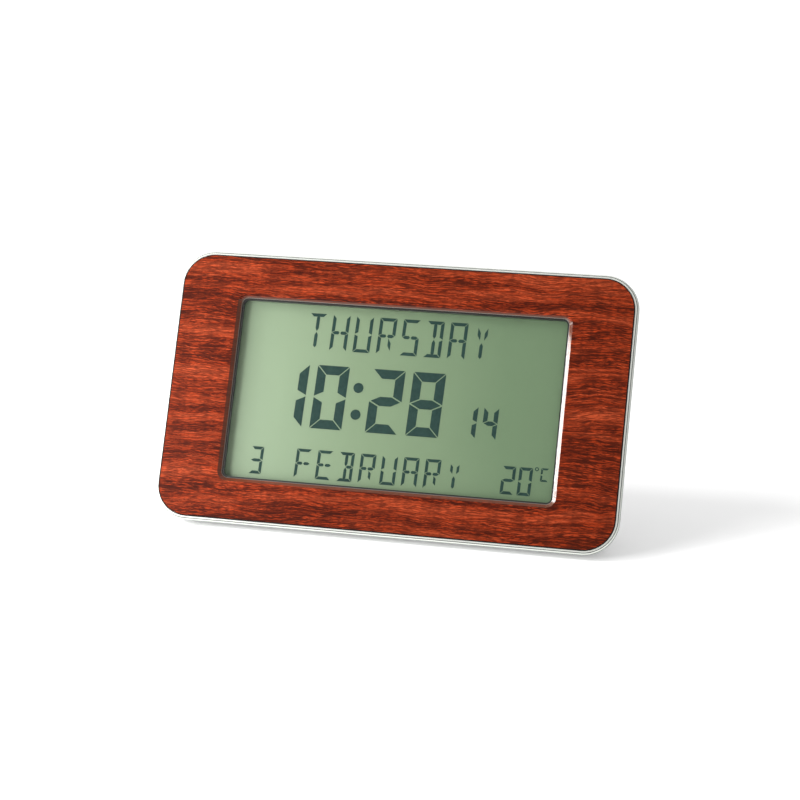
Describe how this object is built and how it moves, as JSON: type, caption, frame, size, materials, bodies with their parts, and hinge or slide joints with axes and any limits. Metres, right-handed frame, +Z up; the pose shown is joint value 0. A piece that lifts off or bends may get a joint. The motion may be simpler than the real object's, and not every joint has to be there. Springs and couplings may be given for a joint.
{
  "type": "desk clock",
  "caption": "Leaning digital desk clock with calendar and temperature, a silver rim round a wood-grain face, and a folding leg, battery door, setting buttons and alarm slider at the back.",
  "frame": {"origin": "on the table, under the middle of the standing clock's bounding box", "axes": "+X to the viewer's right, the clock's longest way; +Y from the viewer to the back; +Z up. The face leans back 29 degrees about X, and the leg is out."},
  "size_m": [0.19, 0.0742, 0.1001],
  "materials": {
    "silver_rim": "satin silver paint",
    "wood_face": "satin lacquered red-brown grain",
    "clear_lens": "polished clear",
    "display_glass": "polished, grey-green",
    "display_film": "grey-green polariser",
    "reflector": "pearly grey-green",
    "holder": "fine moulded grain",
    "contact_rubber": "matte with fine layers",
    "circuit_board": "green solder mask",
    "black_resin": "cured resin",
    "components": "ceramic and moulded",
    "steel": "nickel plated",
    "brass": "rolled",
    "sensor": "dipped resin",
    "cable": "flat cable",
    "red_wire": "insulated",
    "black_wire": "insulated",
    "switch_plastic": "moulded",
    "case_plastic": "fine spark-eroded grain",
    "button_plastic": "moulded",
    "cell_jacket": "printed jacket",
    "foot_rubber": "matte"
  },
  "bodies": {
    "case": {"front_bezel": "silver_rim", "wood_panel": "wood_face", "display_lens": "clear_lens", "front_polariser": "display_film", "front_glass": "display_glass", "rear_glass": "display_glass", "rear_reflector": "reflector", "display_holder": "holder", "zebra_strips": "contact_rubber", "main_board": "circuit_board", "main_board_screws": "steel", "chip_blob": "black_resin", "quartz_crystal": "steel", "board_components": "components", "temperature_sensor": "sensor", "ribbon_cable": "cable", "button_board": "circuit_board", "button_board_screws": "steel", "tact_switches": "switch_plastic", "slide_switch": "steel", "piezo_buzzer": "brass", "buzzer_wires": "black_wire", "rear_case": "case_plastic", "case_screws": "steel", "battery_contacts": "steel", "battery_springs": "steel", "battery_cells": "cell_jacket", "battery_wire_red": "red_wire", "battery_wire_black": "black_wire", "front_feet": "foot_rubber"},
    "stand": {"stand_leg": "case_plastic", "stand_pin": "steel", "stand_pad": "foot_rubber"},
    "battery_door": {"battery_door": "case_plastic"},
    "mode_button": {"mode_button": "button_plastic"},
    "set_button": {"set_button": "button_plastic"},
    "up_button": {"up_button": "button_plastic"},
    "down_button": {"down_button": "button_plastic"},
    "alarm_slider": {"slider_knob": "button_plastic", "slider_lever": "switch_plastic"}
  },
  "joints": [
    {"name": "stand_hinge", "type": "hinge", "parent": "case", "child": "stand", "pos_m": [0, 0.0193, 0.05799], "axis": [-1, 0, 0], "range_deg": [0, 43]},
    {"name": "battery_door_tilt", "type": "hinge", "parent": "case", "child": "battery_door", "pos_m": [0.054, -0.00277, 0.01158], "axis": [-1, 0, 0], "range_deg": [0, 60]},
    {"name": "mode_button_press", "type": "slide", "parent": "case", "child": "mode_button", "axis": [0, -0.8746, 0.4848], "range_m": [0, 0.0006], "stiffness_N_per_m": 1500},
    {"name": "set_button_press", "type": "slide", "parent": "case", "child": "set_button", "axis": [0, -0.8746, 0.4848], "range_m": [0, 0.0006], "stiffness_N_per_m": 1500},
    {"name": "up_button_press", "type": "slide", "parent": "case", "child": "up_button", "axis": [0, -0.8746, 0.4848], "range_m": [0, 0.0006], "stiffness_N_per_m": 1500},
    {"name": "down_button_press", "type": "slide", "parent": "case", "child": "down_button", "axis": [0, -0.8746, 0.4848], "range_m": [0, 0.0006], "stiffness_N_per_m": 1500},
    {"name": "alarm_slide", "type": "slide", "parent": "case", "child": "alarm_slider", "axis": [0, -0.4848, -0.8746], "range_m": [0, 0.003]}
  ]
}
